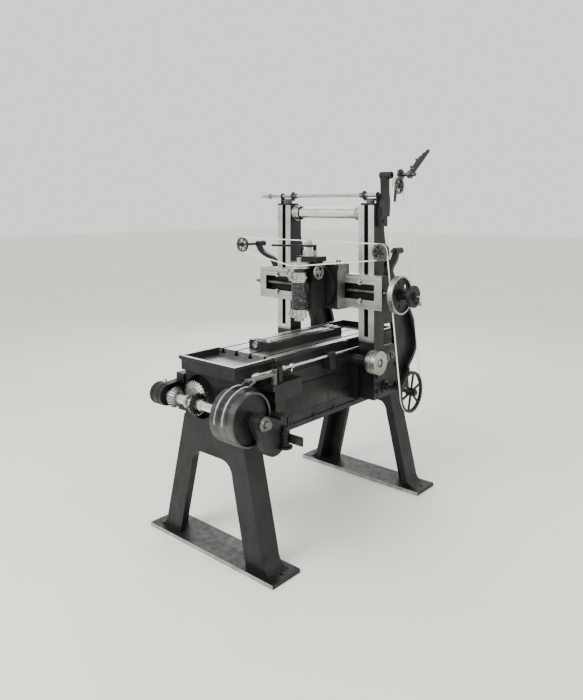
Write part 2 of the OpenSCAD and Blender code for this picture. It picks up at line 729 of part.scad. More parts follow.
// An arm from the rail's back that rises to a boss with a pin for belt idlers
module idler_arm(s, boss_y, pin_x) color(iron) {
    root = rail_len / 2 - 42;
    difference() {
        union() {
            block([rail_x1, s * root - 34, rail_z - 60], [rail_x1 + 62, s * root + 34, rail_z + 66]);
            along_x(arm_x0, arm_x0 + 24) polygon(concat(
                smooth([[s * (root - 24), rail_z + 50], [s * (root - 4), rail_z + 130],
                    [boss_y - s * 20, idler_z - 40], [boss_y - s * 15, idler_z]]),
                smooth([[boss_y + s * 15, idler_z], [boss_y + s * 12, idler_z - 48],
                    [s * (root + 26), rail_z + 110], [s * (root + 30), rail_z + 50]])));
            xcyl(17, arm_x0 - 4, arm_x1, boss_y, idler_z);
        }
        xcyl(7.5, pin_x, arm_x1 - 6, boss_y, idler_z);
    }
    xcyl(7.5, pin_x, arm_x1 - 6, boss_y, idler_z);
    xcyl(12, pin_x - 5, pin_x + 0.5, boss_y, idler_z);
}

module left_arm() idler_arm(1, left_idler_y, idler_x - 4);
module right_arm() idler_arm(-1, right_idler_y, idler_x - 11);

// A grooved belt pulley about Z with spokes
module idler_wheel(run_r, w, hub_w, bore, rim = 8, spokes = 6) difference() {
    spoked_wheel(run_r + 2.5, rim + 3, w, 11, hub_w, bore, spokes, 5);
    belt_groove(run_r);
}

module left_idler() color(steel) translate([idler_x + 7, left_idler_y, idler_z]) rotate([0, 90, 0])
    idler_wheel(idler_r, 14, 20, 7.5 + fit);
module front_idler() color(steel) translate([idler_x, right_idler_y, idler_z]) rotate([0, 90, 0])
    idler_wheel(idler_r, 14, 20, 7.5 + fit);
module rear_idler() color(steel) translate([idler_x + idler_step, right_idler_y, idler_z])
    rotate([0, 90, 0]) idler_wheel(idler_r, 14, 20, 7.5 + fit);

// ---------------------------------------------------------------- elevating gear

lift_scale = 1 - lift_face / norm([lift_gear_r, lift_pinion_r]);
lift_gear_teeth = 30;
lift_pinion_teeth = 18;

module lift_screw(s) color(steel) {
    gear_z = lift_shaft_z - lift_pinion_r;
    zcyl(lift_r, table_top + 24, gear_z, lift_x, s * post_y);
    translate([lift_x, s * post_y, gear_z])
        bevel_teeth(lift_gear_teeth, lift_gear_r, lift_pinion_r * (1 - lift_scale), lift_scale, 0);
    zcyl(lift_gear_r - 5, gear_z - 6, gear_z + eps, lift_x, s * post_y);
    zcyl(22, post_top + 11 + slide_gap, gear_z, lift_x, s * post_y);
}

module left_lift_screw() lift_screw(1);
module right_lift_screw() lift_screw(-1);

module lift_shaft() color(steel) {
    ycyl(lift_shaft_r, -post_y1 + 0.5, post_y1 + 150, lift_x, lift_shaft_z);
    ycyl(17, post_y1 + 92, post_y1 + 104, lift_x, lift_shaft_z);
    translate([lift_x - 6, post_y1 + 146, lift_shaft_z - 6]) cube([12, 26, 12]);
    for (s = [-1, 1]) translate([lift_x, s * (post_y - lift_gear_r), lift_shaft_z])
        rotate([-s * 90, 0, 0]) {
            bevel_teeth(lift_pinion_teeth, lift_pinion_r, lift_gear_r * (1 - lift_scale), lift_scale,
                180 / lift_pinion_teeth);
            translate([0, 0, -6]) cylinder(h = 6 + eps, r = lift_pinion_r - 5);
            translate([0, 0, -24]) cylinder(h = 24, r = 15);
        }
}

// ---------------------------------------------------------------- saddle and head

module saddle() color(iron) {
    y0 = head_y - saddle_w / 2;
    y1 = head_y + saddle_w / 2;
    block([disc_x, y0, rail_z0 - 9], [saddle_x, y1, head_top + 3]);
    block([saddle_x - eps, y0, rail_z1 + slide_gap], [rail_x0 + 38, y1, head_top + 3]);
    block([saddle_x - eps, y0, rail_z0 - 9], [rail_x0 + 38, y1, rail_z0 - slide_gap]);
    block([disc_x - 8, y0, rail_z0], [disc_x + eps, y0 + 9, rail_z1 + 24]);
    difference() {
        block([saddle_x - eps, head_y - 30, rail_z - 25], [rail_screw_x + 16, head_y + 30, rail_z + 25]);
        ycyl(rail_screw_r + fit, head_y - 31, head_y + 31, rail_screw_x, rail_z);
    }
    for (y = [y0 + 18, y0 + 36]) zcyl(5, head_top + 3 - eps, head_top + 24, saddle_x - 20, y);
}

guide_half = 46;

module swivel_plate() color(iron) difference() {
    union() {
        xcyl(swivel_r, guide_x, disc_x - slide_gap, head_y, swivel_z);
        block([guide_x - guide_t, head_y - guide_half, swivel_z - 100],
            [guide_x + 5, head_y + guide_half, swivel_z + 90]);
        block([guide_x - guide_t, head_y - guide_half, swivel_z + 80],
            [guide_x - 2, head_y + guide_half, head_top + 40]);
        block([feed_x - 28, head_y - 70, head_top + 21], [guide_x - 2, head_y + 70, head_top + 47]);
        translate([feed_x, head_y, head_top + 101]) rotate([0, 0, 117])
            block([0, -7, -5.5], [205, 7, 5.5]);
        zcyl(20, head_top + 95, head_top + 107, feed_x, head_y);
        zcyl(10, head_top + 40, head_top + 105, guide_x - 12.5, head_y);
        block([feed_x, head_y - 8, head_top + 96], [guide_x - 12.5, head_y + 8, head_top + 106]);
    }
    zcyl(lift_r + fit, head_top - 2, head_top + 110, feed_x, head_y);
    zcyl(4.6, head_top + 90, head_top + 110, stop_x, stop_y);
}

stop_x = feed_x - 116 * sin(27);
stop_y = head_y + 116 * cos(27);

module head_body() color(iron) difference() {
    back_x = spindle_x + spindle_pulley_r + 5;
    union() {
        block([spindle_x + 30, head_y - 64, head_z0], [slide_x, head_y + 64, head_z1]);
        block([spindle_x + 46, head_y - 60, head_z1 - 1], [slide_x, head_y + 60, head_z1 + 62]);
        block([back_x, head_y - 60, head_z1 + 61], [slide_x, head_y + 60, head_top + 20]);
        zcyl(barrel_r, head_z0, head_z1, spindle_x, head_y);
        block([spindle_x, head_y - barrel_r, head_z0], [spindle_x + 40, head_y + barrel_r, head_z1]);
        for (s = [-1, 1]) block([slide_x - 5, head_y + s * 55.3 - 9, head_z0],
            [guide_x - 4, head_y + s * 55.3 + 9, head_z1 + 40]);
        zcyl(neck_r, head_z1 - 1, pulley_z - spindle_pulley_w / 2, spindle_x, head_y);
    }
    zcyl(spindle_r + fit, head_z0 - 1, head_top + 60, spindle_x, head_y);
    zcyl(lift_r + fit, head_z0 + 20, head_top + 50, feed_x, head_y);
}

// A split collar clamped round the head, with two ears and their screws
module split_collar(z0, z1, bore) {
    difference() {
        union() {
            zcyl(barrel_r + 1, z0, z1, spindle_x, head_y);
            for (a = [150, 245]) translate([spindle_x, head_y, z0 + 8]) rotate(a)
                translate([barrel_r - 6, -9, 0]) cube([20, 18, z1 - z0 - 16]);
        }
        zcyl(bore, z0 - 1, z1 + 1, spindle_x, head_y);
        translate([spindle_x, head_y, z0 - 1]) rotate(197) translate([bore - 4, -1.5, 0])
            cube([60, 3, z1 - z0 + 2]);
    }
    for (a = [150, 245]) translate([spindle_x, head_y, (z0 + z1) / 2]) rotate(a)
        translate([barrel_r + 13, 0, 0]) rotate([0, 90, 0]) cylinder(h = 8, r = 6, $fn = 6);
}

neck_r = 28;

module clamp_collars() color(bright) {
    split_collar(head_z1 + 0.1, head_z1 + collar_high, neck_r + 0.1);
    split_collar(head_z0 - collar_low, head_z0 - 0.1, spindle_r + fit);
}

module depth_stop() color(bright) {
    zcyl(4, head_top + 46, head_top + 182, stop_x, stop_y);
    zcyl(9, head_top + 86.8, head_top + 94.8, stop_x, stop_y, $fn = 6);
    zcyl(9, head_top + 107.2, head_top + 115, stop_x, stop_y, $fn = 6);
}

nose_z = head_z0 - collar_low - 18;

module spindle() color(steel) difference() {
    union() {
        zcyl(spindle_r, nose_z, head_top + 44, spindle_x, head_y);
        zcyl(24, nose_z, head_z0 - collar_low - 0.3, spindle_x, head_y);
    }
    zcyl(nose_bore_r, nose_z - 1, nose_z + 60, spindle_x, head_y);
}

module spindle_pulley() color(bright) difference() {
    zcyl(spindle_pulley_r, pulley_z - spindle_pulley_w / 2 + 0.5, pulley_z + spindle_pulley_w / 2,
        spindle_x, head_y);
    translate([spindle_x, head_y, pulley_z]) belt_groove(spindle_run_r);
    for (z = [-11, 11]) translate([spindle_x, head_y, pulley_z + z]) rotate_extrude()
        translate([spindle_pulley_r, 0]) circle(2.5, $fn = 16);
    zcyl(spindle_r, pulley_z - 40, pulley_z + 40, spindle_x, head_y);
}

spindle_run_r = spindle_pulley_r - belt_r;

module head_screw() color(bright) {
    zcyl(lift_r, head_z0 + 34, head_top + 130, feed_x, head_y);
    zcyl(34, head_top + 47.3, head_top + 78, feed_x, head_y);
    zcyl(14, head_top + 78 - eps, head_top + 94.7, feed_x, head_y);
    translate([feed_x, head_y, head_top + 107.3]) bevel_teeth(22, 34, 12, 0.72);
    zcyl(13, head_top + 107.3, head_top + 130, feed_x, head_y);
}

module head_handwheel() color(bright) translate([spindle_x + 56, head_y - 84, head_top - 30])
    rotate([90, 0, 0]) {
        spoked_wheel(36, 6, 9, 10, 16, 3, 4, 7);
        translate([0, 0, -23.8]) cylinder(h = 34, r = 5);
    }

// ---------------------------------------------------------------- spindle belt drive

module tension_bracket() color(iron) {
    y1 = -post_y1;
    difference() {
        union() {
            block([post_x + 26, y1 - 24, post_top - 112], [post_x + 92, y1, post_top - 16]);
            along_y(y1 - 40, y1) polygon(concat(
                smooth([[post_x + 30, post_top - 60], [post_x + 36, post_top + 10],
                    [post_x + 66, post_top + 60], [pivot_x - 16, pivot_z - 8]]),
                smooth([[pivot_x + 17, pivot_z - 8], [post_x + 84, post_top + 70],
                    [post_x + 98, post_top + 20], [post_x + 88, post_top - 60]])));
            ycyl(19, y1 - 64, y1 + 4, pivot_x, pivot_z);
        }
        ycyl(10 + fit, y1 - 70, y1 + 10, pivot_x, pivot_z);
    }
}

lever_y = belt_y + 22;

module tension_lever() color(steel) {
    ycyl(10, -post_y1 + 3, lever_y, pivot_x, pivot_z);
    ycyl(10, lever_y - 84, lever_y, pivot_x, pivot_z);
    ycyl(30, lever_y - 1, lever_y + 9, pivot_x, pivot_z);
    ycyl(21, lever_y - 60, lever_y - 44, pivot_x, pivot_z);
    along_y(lever_y - 10, lever_y) hull() {
        translate([pivot_x, pivot_z]) circle(18, $fn = 32);
        translate([top_idler_x, top_idler_z]) circle(13, $fn = 32);
    }
    ycyl(7.5, belt_y - 14, lever_y - 5, top_idler_x, top_idler_z);
    ycyl(11, belt_y - 18, belt_y - 12, top_idler_x, top_idler_z);
    along_y(lever_y - 56, lever_y - 46) hull() {
        translate([pivot_x, pivot_z]) circle(17, $fn = 32);
        translate([pivot_x + 186, pivot_z + 132]) circle(9, $fn = 32);
    }
    along_y(lever_y - 64, lever_y - 56) hull() {
        translate([pivot_x + 22, pivot_z + 28]) circle(11, $fn = 32);
        translate([pivot_x + 132, pivot_z + 116]) circle(6, $fn = 32);
    }
    along_y(lever_y - 10, lever_y) hull() {
        translate([top_idler_x, top_idler_z]) circle(13, $fn = 32);
        translate([top_idler_x - 8, top_idler_z - 78]) circle(5, $fn = 32);
    }
}

module top_idler() color(steel) translate([top_idler_x, belt_y, top_idler_z]) rotate([90, 0, 0])
    idler_wheel(idler_r, 14, 20, 7.5 + fit);

module wheel_bracket() color(iron) {
    ycyl(34, -post_y1 - 9, -post_y1, wheel_x, wheel_z);
    ycyl(20, -post_y1 - 30, -post_y1 - 8, wheel_x, wheel_z);
    ycyl(10, wheel_y - 26, -post_y1 - 8, wheel_x, wheel_z);
    ycyl(15, wheel_y - 30, wheel_y - 24, wheel_x, wheel_z);
}

module lower_wheel() color(iron) translate([wheel_x, wheel_y, wheel_z]) rotate([90, 0, 0])
    difference() {
        spoked_wheel(lower_wheel_r + belt_r + 1, 13, 15, 21, 44, 10 + fit, 6, 9);
        belt_groove(lower_wheel_r);
    }

module feed_drum() color(steel) {
    y1 = -post_y1 - 3;
    difference() {
        union() {
            ycyl(feed_drum_r, y1 - 57, y1 - 31, drum_x, drum_z);
            ycyl(feed_drum_r, y1 - 26, y1, drum_x, drum_z);
            ycyl(feed_drum_r - 9, y1 - 40, y1 - 10, drum_x, drum_z);
        }
        ycyl(22, y1 - 58, y1 - 42, drum_x, drum_z);
        ycyl(12 - fit, y1 - 60, y1 + 1, drum_x, drum_z);
    }
    ycyl(12 - fit, y1 - 54, -side_y + bed_wall - 2, drum_x, drum_z);
}

// Sweep of a round cord through points: frames carried along without twist
function unit(v) = v / norm(v);
function tangent(p, i) = unit(p[min(i + 1, len(p) - 1)] - p[max(i - 1, 0)]);
function carry(p, i, n) = let (t = tangent(p, i)) unit(n - (n * t) * t);
function frames(p, i, n) = i == len(p) ? [] :
    let (m = carry(p, i, n)) concat([m], frames(p, i + 1, m));

module cord(p, r, first) {
    sides = 8;
    f = frames(p, 0, first);
    rings = [for (i = [0:len(p) - 1], k = [0:sides - 1])
        let (t = tangent(p, i), b = cross(t, f[i]), a = k * 360 / sides)
        p[i] + r * (cos(a) * f[i] + sin(a) * b)];
    last = (len(p) - 1) * sides;
    polyhedron(rings, concat(
        [[for (k = [sides - 1:-1:0]) k]],
        [[for (k = [0:sides - 1]) last + k]],
        [for (i = [0:len(p) - 2], k = [0:sides - 1])
            [i * sides + k, i * sides + (k + 1) % sides,
             (i + 1) * sides + (k + 1) % sides, (i + 1) * sides + k]]));
}

// Points on an arc: centre c, two unit directions u and v, from angle a0 to a1
function arc(c, r, u, v, a0, a1, n = 8) = [for (i = [0:n])
    let (a = a0 + (a1 - a0) * i / n) c + r * (cos(a) * u + sin(a) * v)];

X = [1, 0, 0];
Y = [0, 1, 0];
Z = [0, 0, 1];
left_c = [idler_x + 7, left_idler_y, idler_z];
front_c = [idler_x, right_idler_y, idler_z];
rear_c = [idler_x + idler_step, right_idler_y, idler_z];
top_c = [top_idler_x, belt_y, top_idler_z];
wheel_c = [wheel_x, wheel_y, wheel_z];
spin_c = [spindle_x, head_y, pulley_z];
front_leave = front_c - idler_r * Y;
rear_enter = rear_c - idler_r * Y;

// Direction from a circle's centre to where a line from p touches it; side is +1 or -1
function touch(c, r, p, side) = let (d = c - p)
    atan2(d[1], d[0]) + side * (asin(r / norm(d)) + 90);
function flat(p) = [p[0], p[2]];
function plan(p) = [p[0], p[1]];
wheel_a0 = touch(flat(wheel_c), lower_wheel_r, flat(front_leave), -1);
top_a1 = touch(flat(top_c), idler_r, flat(rear_enter), 1);
back_lean = asin((lower_wheel_r - idler_r) / norm(flat(top_c) - flat(wheel_c)));
back_a = atan2(top_c[2] - wheel_c[2], top_c[0] - wheel_c[0]) - 90 + back_lean;
wheel_in = wheel_c + lower_wheel_r * [cos(wheel_a0), 0, sin(wheel_a0)];
wheel_out = wheel_c + lower_wheel_r * [cos(back_a), 0, sin(back_a)];
top_in = top_c + idler_r * [cos(back_a), 0, sin(back_a)];
top_out = top_c + idler_r * [cos(top_a1), 0, sin(top_a1)];

cord_r = belt_r - 0.2;

// The run that rides on the rail: round the left idler, across, and over the front idler
module belt_top() color(cord_white)
    cord(concat(arc(left_c, idler_r, -Z, Y, 0, 180, 12), arc(front_c, idler_r, Z, -Y, 0, 90, 6)),
        cord_r, X);

// A straight run of the belt, held clear of its neighbours' ends
module run(a, b, first) cord([a + 0.5 * unit(b - a), b + 0.5 * unit(a - b)], cord_r, first);

// The upright run from the front idler down to the lower wheel
module belt_front() color(cord_white) run(front_leave, wheel_in, X);

// Under the lower wheel
module belt_wheel() color(cord_white)
    cord(arc(wheel_c, lower_wheel_r, X, Z, wheel_a0 > 0 ? wheel_a0 - 360 : wheel_a0, back_a, 16), cord_r, Y);

// The upright run from the lower wheel to the top idler
module belt_back() color(cord_white) run(wheel_out, top_in, Y);

// Over the top idler
module belt_cap() color(cord_white)
    cord(arc(top_c, idler_r, X, Z, back_a, top_a1 < 0 ? top_a1 + 360 : top_a1, 12), cord_r, Y);

// The upright run from the top idler down to the rear idler
module belt_feed() color(cord_white) run(top_out, rear_enter + 0.1 * Z, X);

// From under the rear idler, round the spindle's pulley, to under the left idler
module belt_head() color(cord_white) {
    rear_low = rear_c - idler_r * Z + 22 * Y;
    left_low = left_c - idler_r * Z - 22 * Y;
    a0 = touch(plan(spin_c), spindle_run_r, plan(rear_low), 1);
    a1 = touch(plan(spin_c), spindle_run_r, plan(left_low), -1);
    cord(concat(arc(rear_c, idler_r, -Y, -Z, 0, 90, 6), [rear_low],
        arc(spin_c, spindle_run_r, X, Y, a0, a1 < 0 ? a1 + 360 : a1, 6),
        [left_low, left_low + 21.5 * Y]), cord_r, X);
}

front_leg();
rear_leg();
bed();
left_housing();
right_housing();
frame_bolts();
brace_tube();
top_bearings();
gear_end_bearing();
outboard_bracket();
shifter_brackets();
tension_bracket();
wheel_bracket();
table();
table_nut();
vise_body();
vise_jaw();
vise_screw();
table_screw();
bevel_gear();
cross_shaft();
forward_pinion();
forward_pulley();
reverse_sleeve();
reverse_pulley();
loose_pulley();
shifter_rod();
belt_fork();
cross_rail();
rail_bolts();
left_arm();
right_arm();
rail_screw();
feed_disc();
left_idler();
front_idler();
rear_idler();
left_lift_screw();
right_lift_screw();
lift_shaft();
saddle();
swivel_plate();
head_body();
clamp_collars();
depth_stop();
spindle();
spindle_pulley();
head_screw();
head_handwheel();
tension_lever();
top_idler();
feed_drum();
lower_wheel();
belt_top();
belt_front();
belt_wheel();
belt_back();
belt_cap();
belt_feed();
belt_head();
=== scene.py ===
import json
import math

import bmesh
import bpy
from mathutils import Matrix, Vector


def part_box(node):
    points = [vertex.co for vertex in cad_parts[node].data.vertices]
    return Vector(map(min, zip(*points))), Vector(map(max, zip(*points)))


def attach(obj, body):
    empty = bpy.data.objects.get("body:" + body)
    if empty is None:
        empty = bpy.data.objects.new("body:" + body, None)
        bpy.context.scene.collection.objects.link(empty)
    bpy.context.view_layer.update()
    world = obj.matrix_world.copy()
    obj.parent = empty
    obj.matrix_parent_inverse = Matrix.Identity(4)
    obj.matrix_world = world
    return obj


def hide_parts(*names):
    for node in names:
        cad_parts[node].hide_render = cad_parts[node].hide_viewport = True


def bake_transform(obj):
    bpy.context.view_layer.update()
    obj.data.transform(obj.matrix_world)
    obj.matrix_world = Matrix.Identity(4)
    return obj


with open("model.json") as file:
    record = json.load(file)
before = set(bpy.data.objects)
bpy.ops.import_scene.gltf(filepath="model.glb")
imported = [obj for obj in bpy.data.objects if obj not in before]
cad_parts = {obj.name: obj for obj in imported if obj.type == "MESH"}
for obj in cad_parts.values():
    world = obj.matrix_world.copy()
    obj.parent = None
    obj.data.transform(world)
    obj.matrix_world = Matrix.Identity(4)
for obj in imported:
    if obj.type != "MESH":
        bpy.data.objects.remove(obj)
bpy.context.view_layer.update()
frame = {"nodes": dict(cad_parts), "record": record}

nodes = frame["nodes"]

X, Y, Z = Vector((1, 0, 0)), Vector((0, 1, 0)), Vector((0, 0, 1))
LEVER_PIVOT = Vector((0.255, 0, 1.757))  # of the belt-tension lever


def middle(node):
    low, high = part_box(node)
    return (low + high) / 2


def off_axis(point, centre, axis):
    """The distance of a point from an axis (0 for x, 1 for y, 2 for z) through a centre."""
    a, b = (k for k in range(3) if k != axis)
    return math.hypot(point[a] - centre[a], point[b] - centre[b])


# ---------------------------------------------------------------- materials


def new_material(name):
    mat = bpy.data.materials.new(name)
    mat.use_nodes = True
    tree = mat.node_tree
    tree.nodes.clear()
    out = tree.nodes.new("ShaderNodeOutputMaterial")
    bsdf = tree.nodes.new("ShaderNodeBsdfPrincipled")
    tree.links.new(bsdf.outputs[0], out.inputs[0])
    return mat, tree, bsdf


def add(tree, kind, **values):
    node = tree.nodes.new(kind)
    for key, value in values.items():
        if hasattr(node, key):
            setattr(node, key, value)
        else:
            node.inputs[key.replace("_", " ")].default_value = value
    return node


def mapped_noise(tree, scale, stretch=(1, 1, 1), detail=4.0, rough=0.6, turn=(0, 0, 0)):
    coord = add(tree, "ShaderNodeTexCoord")
    mapping = add(tree, "ShaderNodeMapping")
    mapping.inputs["Scale"].default_value = stretch
    mapping.inputs["Rotation"].default_value = turn
    noise = add(tree, "ShaderNodeTexNoise")
    noise.inputs["Scale"].default_value = scale
    noise.inputs["Detail"].default_value = detail
    noise.inputs["Roughness"].default_value = rough
    tree.links.new(coord.outputs["Object"], mapping.inputs[0])
    tree.links.new(mapping.outputs[0], noise.inputs["Vector"])
    return noise.outputs["Fac"]


def ramp(tree, fac, stops):
    node = add(tree, "ShaderNodeValToRGB")
    ends = node.color_ramp.elements
    while len(ends) < len(stops):
        ends.new(0.5)
    for end, (place, colour) in zip(ends, stops):
        end.position = place
        end.color = (*colour, 1) if len(colour) == 3 else colour
    tree.links.new(fac, node.inputs[0])
    return node.outputs[0]


def span(tree, fac, low, high, lo_in=0.0, hi_in=1.0):
    node = add(tree, "ShaderNodeMapRange")
    node.inputs["From Min"].default_value = lo_in
    node.inputs["From Max"].default_value = hi_in
    node.inputs["To Min"].default_value = low
    node.inputs["To Max"].default_value = high
    tree.links.new(fac, node.inputs["Value"])
    return node.outputs[0]


def bumped(tree, bsdf, fac, strength, distance, edge=0.0012):
    bump = add(tree, "ShaderNodeBump")
    bump.inputs["Strength"].default_value = strength
    bump.inputs["Distance"].default_value = distance
    tree.links.new(fac, bump.inputs["Height"])
    bevel = add(tree, "ShaderNodeBevel")
    bevel.samples = 4
    bevel.inputs["Radius"].default_value = edge
    tree.links.new(bevel.outputs[0], bump.inputs["Normal"])
    tree.links.new(bump.outputs[0], bsdf.inputs["Normal"])


def enamel(name, base=(0.0040, 0.0060, 0.0060), gloss=0.38, grain=1.0, shine=0.22):
    mat, tree, bsdf = new_material(name)
    cloud = mapped_noise(tree, 7.0, detail=6.0)
    worn = tuple(c * 2.2 + 0.004 for c in base)
    tree.links.new(ramp(tree, cloud, [(0.35, base), (0.75, worn)]), bsdf.inputs["Base Color"])
    smear = mapped_noise(tree, 30.0, (1, 1, 0.4), detail=5.0)
    tree.links.new(span(tree, smear, gloss - 0.08, gloss + 0.20, 0.3, 0.7), bsdf.inputs["Roughness"])
    bsdf.inputs["Specular IOR Level"].default_value = shine
    bsdf.inputs["Coat Weight"].default_value = shine * 0.25
    bsdf.inputs["Coat Roughness"].default_value = 0.14
    sand = mapped_noise(tree, 260.0, detail=5.0, rough=0.7)
    bumped(tree, bsdf, sand, 0.22 * grain, 0.0006, 0.002)
    return mat


def above(tree, colour, low, high):
    """Fades a colour to the enamel's below a height, where the machined strip ends."""
    coord = add(tree, "ShaderNodeTexCoord")
    split = add(tree, "ShaderNodeSeparateXYZ")
    tree.links.new(coord.outputs["Object"], split.inputs[0])
    mix = add(tree, "ShaderNodeMix", data_type="RGBA")
    tree.links.new(span(tree, split.outputs["Z"], 0, 1, low, high), mix.inputs["Factor"])
    mix.inputs[6].default_value = (0.035, 0.040, 0.040, 1)
    tree.links.new(colour, mix.inputs[7])
    return mix.outputs[2]


def ground_metal(name, streak, base=(0.50, 0.51, 0.49), dark=(0.27, 0.28, 0.27), gloss=0.34,
                 ends=None):
    """Machined metal with tool lines; ends are the heights between which a strip's machining starts."""
    mat, tree, bsdf = new_material(name)
    lines = mapped_noise(tree, 60.0, streak, detail=7.0, rough=0.65)
    stain = mapped_noise(tree, 9.0, detail=5.0, rough=0.6)
    mix = add(tree, "ShaderNodeMath", operation="MULTIPLY_ADD")
    tree.links.new(lines, mix.inputs[0])
    mix.inputs[1].default_value = 0.6
    tree.links.new(span(tree, stain, -0.05, 0.45, 0.25, 0.75), mix.inputs[2])
    colour = ramp(tree, mix.outputs[0], [(0.22, dark), (0.62, base)])
    if ends:
        colour = above(tree, colour, *ends)
    tree.links.new(colour, bsdf.inputs["Base Color"])
    tree.links.new(span(tree, lines, gloss - 0.08, gloss + 0.16, 0.3, 0.7), bsdf.inputs["Roughness"])
    bsdf.inputs["Metallic"].default_value = 1.0
    bumped(tree, bsdf, lines, 0.12, 0.0004)
    return mat


def cord_material(name):
    mat, tree, bsdf = new_material(name)
    fuzz = mapped_noise(tree, 900.0, detail=3.0)
    tree.links.new(ramp(tree, fuzz, [(0.3, (0.62, 0.60, 0.54)), (0.7, (0.90, 0.89, 0.83))]),
                   bsdf.inputs["Base Color"])
    bsdf.inputs["Roughness"].default_value = 0.85
    bumped(tree, bsdf, fuzz, 0.5, 0.0006, 0.0002)
    return mat


def hammered(name):
    """Enamel over a rough casting: lumps whose tops are rubbed lighter."""
    mat, tree, bsdf = new_material(name)
    lumps = mapped_noise(tree, 95.0, detail=3.0, rough=0.5)
    tree.links.new(ramp(tree, lumps, [(0.50, (0.006, 0.008, 0.008)), (0.66, (0.075, 0.080, 0.078))]),
                   bsdf.inputs["Base Color"])
    tree.links.new(span(tree, lumps, 0.55, 0.25, 0.35, 0.7), bsdf.inputs["Roughness"])
    bsdf.inputs["Specular IOR Level"].default_value = 0.4
    bumped(tree, bsdf, lumps, 0.9, 0.002, 0.003)
    return mat


MAT = {
    "enamel": enamel("enamel"),
    "way_x": ground_metal("way_x", (0.04, 1, 1)),
    "way_y": ground_metal("way_y", (1, 0.04, 1)),
    "steel": ground_metal("steel", (1, 1, 1), (0.46, 0.47, 0.45), (0.20, 0.21, 0.20), 0.36),
    "bright": ground_metal("bright", (0.5, 0.5, 0.5), (0.74, 0.75, 0.73), (0.52, 0.53, 0.52), 0.24),
    "tube": ground_metal("tube", (1.5, 0.15, 1.5), (0.70, 0.71, 0.69), (0.56, 0.57, 0.56), 0.30),
    "trough": ground_metal("trough", (0.3, 0.3, 1), (0.30, 0.31, 0.30), (0.16, 0.17, 0.16), 0.42),
    "black": enamel("black", base=(0.002, 0.002, 0.002), gloss=0.6, shine=0.04),
    "cord": cord_material("cord"),
    "steel_dark": ground_metal("steel_dark", (1, 1, 1), (0.14, 0.15, 0.145), (0.04, 0.045, 0.045), 0.36),
    "way_z": ground_metal("way_z", (1, 1, 0.04), (0.62, 0.63, 0.61), (0.38, 0.39, 0.38),
                          ends=(0.875, 0.895)),
    "collar": ground_metal("collar", (1, 1, 0.2), (0.52, 0.53, 0.51), (0.26, 0.27, 0.26), 0.30),
    "pulley": ground_metal("pulley", (1, 0.1, 1), (0.10, 0.11, 0.105), (0.035, 0.04, 0.04), 0.34),
    "rough_cast": hammered("rough_cast"),
}


def paint(node, look, rules=()):
    """The node's faces take the first rule that they match: (look, test of normal and centre)."""
    mesh = nodes[node].data
    mesh.materials.clear()
    mesh.materials.append(MAT[look])
    for rule_look, _ in rules:
        mesh.materials.append(MAT[rule_look])
    for face in mesh.polygons:
        face.material_index = next(
            (i + 1 for i, (_, test) in enumerate(rules) if test(face.normal, face.center)), 0)


SLOT_LOOK = {"machine_enamel": "enamel", "ground_iron": "way_x", "turned_steel": "steel",
             "polished_steel": "bright", "cord": "cord"}
for part in frame["record"]["subparts"]:
    paint(part["node"], SLOT_LOOK[part["material_slot"]])

rail_low, rail_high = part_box("cross_rail")
post_low, post_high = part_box("right_housing")
table_low, table_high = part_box("table")
paint("cross_rail", "enamel", [
    ("way_y", lambda n, c: abs(n.x) > 0.9 and c.x < rail_low.x + 0.004),
    ("way_y", lambda n, c: abs(n.z) > 0.9 and (c.z > rail_high.z - 0.002 or c.z < rail_low.z + 0.002)
        and c.x < 0.184)])
for side in ("left_housing", "right_housing"):
    paint(side, "enamel", [("way_z", lambda n, c: n.x < -0.9 and c.x < post_low.x + 0.002)])
paint("table", "enamel", [
    ("way_x", lambda n, c: n.z > 0.9 and c.z > table_high.z - 0.001),
    ("trough", lambda n, c: n.z > 0.9 and c.z > table_low.z + 0.012 and abs(c.y) < 0.178
        and table_low.x + 0.012 < c.x < table_high.x - 0.012),
    ("trough", lambda n, c: n.x < -0.9 and table_low.x + 0.1 < c.x < 0 and c.z > table_low.z + 0.02)])
bed_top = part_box("bed")[1].z
paint("bed", "enamel", [("black", lambda n, c: n.z > 0.5 and c.z > bed_top - 0.003)])
paint("brace_tube", "tube")
saddle_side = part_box("saddle")[0].y
paint("saddle", "enamel", [("trough", lambda n, c: n.y < -0.9 and c.y < saddle_side + 0.001)])
paint("head_handwheel", "steel")
paint("rail_screw", "steel_dark", [("bright", lambda n, c: c.y < -0.6)])
spindle_c = middle("spindle")
BARREL_REACH = 0.045
paint("head_body", "enamel", [("rough_cast", lambda n, c: off_axis(c, spindle_c, 2) < BARREL_REACH)])


def round_faces(centre, axis, radius, over=True):
    """A test for faces that look away from an axis, beyond a radius."""
    across = [k for k in range(3) if k != axis]

    def test(normal, place):
        gap = Vector([place[k] - centre[k] for k in across])
        outward = Vector([normal[k] for k in across])
        return gap.length > radius and gap.length > 0 and outward.dot(gap.normalized()) > 0.6
    return test


def toothed(centre, axis):
    """A test for the flanks of a gear's teeth: they look round the axis, not along or away."""
    across = [k for k in range(3) if k != axis]

    def test(normal, place):
        gap = Vector([place[k] - centre[k] for k in across]).normalized()
        outward = Vector([normal[k] for k in across])
        return outward.length > 0.5 and abs(outward.x * gap.y - outward.y * gap.x) > 0.35
    return test


